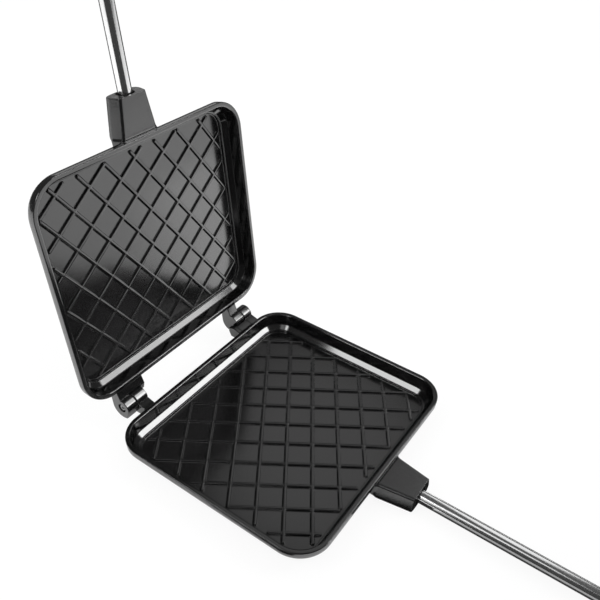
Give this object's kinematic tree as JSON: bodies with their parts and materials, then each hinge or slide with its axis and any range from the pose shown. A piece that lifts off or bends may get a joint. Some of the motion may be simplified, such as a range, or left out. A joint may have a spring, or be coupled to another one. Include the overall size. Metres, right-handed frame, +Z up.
{
  "type": "sandwich maker",
  "caption": "Hand-held hinged sandwich iron with ribbed non-stick trays, rod handles, split grip and a locking bail, shown open.",
  "frame": {"origin": "centre of the lower pan's flat underside, on the surface that the iron rests on", "axes": "+Z up; the lower handle runs along -Y; the hinge axis is parallel to X behind the pan at +Y; the upper pan stands open, leaning back"},
  "size_m": [0.148, 0.4487, 0.3955],
  "materials": {
    "black_coating": "semi-gloss black non-stick coating on cast aluminium",
    "bright_steel": "polished stainless steel",
    "pin_steel": "plain steel",
    "black_phenolic": "satin black heat-proof phenolic"
  },
  "bodies": {
    "lower_half": {"lower_pan": "black_coating", "lower_rod": "bright_steel", "lower_socket_pin": "pin_steel", "lower_rod_core": "pin_steel", "lower_ferrule": "bright_steel", "lower_grip": "black_phenolic", "lower_grip_screw_front": "bright_steel", "lower_grip_screw_rear": "bright_steel", "right_hinge_pin": "pin_steel"},
    "upper_half": {"upper_pan": "black_coating", "upper_rod": "bright_steel", "upper_socket_pin": "pin_steel", "upper_rod_core": "pin_steel", "upper_ferrule": "bright_steel", "upper_grip": "black_phenolic", "upper_grip_screw_front": "bright_steel", "upper_grip_screw_rear": "bright_steel", "left_hinge_pin": "pin_steel"},
    "bail": {"locking_bail": "bright_steel"}
  },
  "joints": [
    {"name": "pan_hinge", "type": "hinge", "parent": "lower_half", "child": "upper_half", "pos_m": [0, 0.07565, 0.0161], "axis": [1, 0, 0], "range_deg": [0, 97.1]},
    {"name": "bail_pivot", "type": "hinge", "parent": "lower_half", "child": "bail", "pos_m": [0, -0.28639, 0.0075], "axis": [-1, 0, 0], "range_deg": [-100, 108]}
  ]
}
